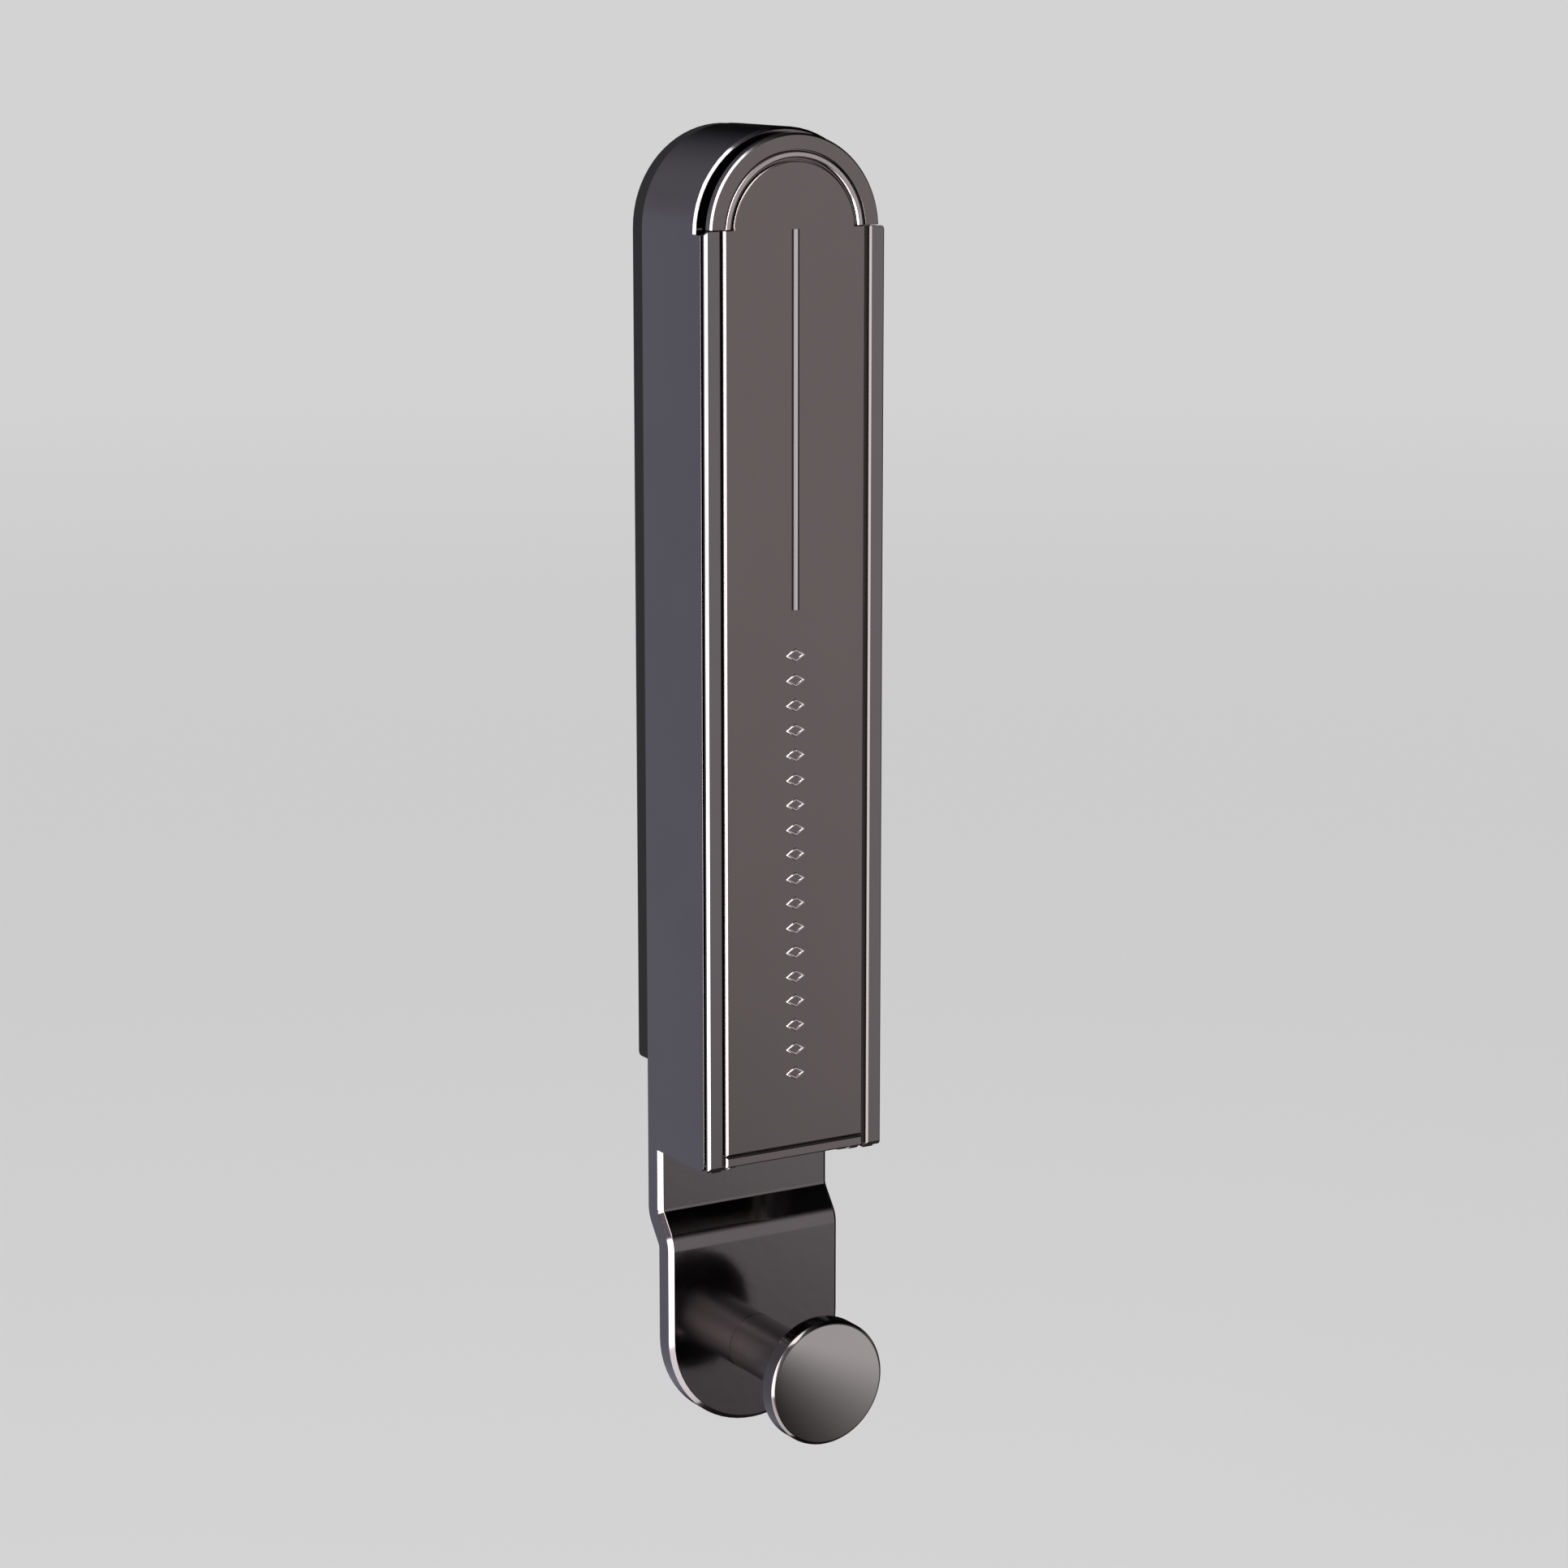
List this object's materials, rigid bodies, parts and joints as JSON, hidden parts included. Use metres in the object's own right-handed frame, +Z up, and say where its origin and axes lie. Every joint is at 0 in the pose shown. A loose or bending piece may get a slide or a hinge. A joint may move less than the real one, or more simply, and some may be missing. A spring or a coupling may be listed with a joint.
{
  "type": "wall-mounted folding drying rack",
  "caption": "Slim wall-mounted drying rack: a notched arm folds down from an arched metal body to hold hangers, with a round coat knob on a stepped tail.",
  "frame": {"origin": "on the wall plane, on the middle plane of the rack, midway between its two wall screws", "axes": "+Z up, +Y into the wall, +X to the right seen from the room; the arm is drawn closed"},
  "size_m": [0.0382, 0.0398, 0.25],
  "materials": {
    "black_foam_rubber": "matt moulded rubber pad",
    "gun_grey_casting": "gun-grey gloss coating on die-cast aluminium",
    "gun_grey_turned": "turned and gloss coated",
    "gun_grey_extrusion": "gun-grey gloss coating on extruded aluminium",
    "gun_grey_cap": "gun-grey gloss coating on die-cast aluminium",
    "gun_grey_strip": "gun-grey gloss coating",
    "warm_grey_panel": "warm grey satin coating",
    "folded_steel": "zinc plated and passivated",
    "zinc_plated_steel": "zinc plated",
    "ground_pin_steel": "ground",
    "strike_steel": "nickel plated",
    "nickel_plated_magnet": "nickel plated",
    "white_nylon": "natural nylon",
    "black_plastic": "moulded, fine texture",
    "bumper_rubber": "matt",
    "adhesive_tape": "double-sided tape"
  },
  "bodies": {
    "base": {"wall_pad": "black_foam_rubber", "base_tray": "gun_grey_casting", "knob": "gun_grey_turned", "knob_screw": "zinc_plated_steel", "hinge_bracket": "folded_steel", "bracket_screws": "zinc_plated_steel", "pivot_pin": "ground_pin_steel", "stop_pin": "ground_pin_steel", "hinge_washers": "white_nylon", "magnet_holder": "black_plastic", "holder_screws": "zinc_plated_steel", "magnet": "nickel_plated_magnet", "rest_bumpers": "bumper_rubber"},
    "arm": {"arm_profile": "gun_grey_extrusion", "arch_cap": "gun_grey_cap", "cap_screws": "zinc_plated_steel", "strike_plate": "strike_steel", "front_panel": "warm_grey_panel", "panel_tape": "adhesive_tape", "foot_strip": "gun_grey_strip"}
  },
  "joints": [
    {"name": "arm_hinge", "type": "hinge", "parent": "base", "child": "arm", "pos_m": [0, -0.0232, -0.0918], "axis": [1, 0, 0], "range_deg": [0, 90]}
  ]
}
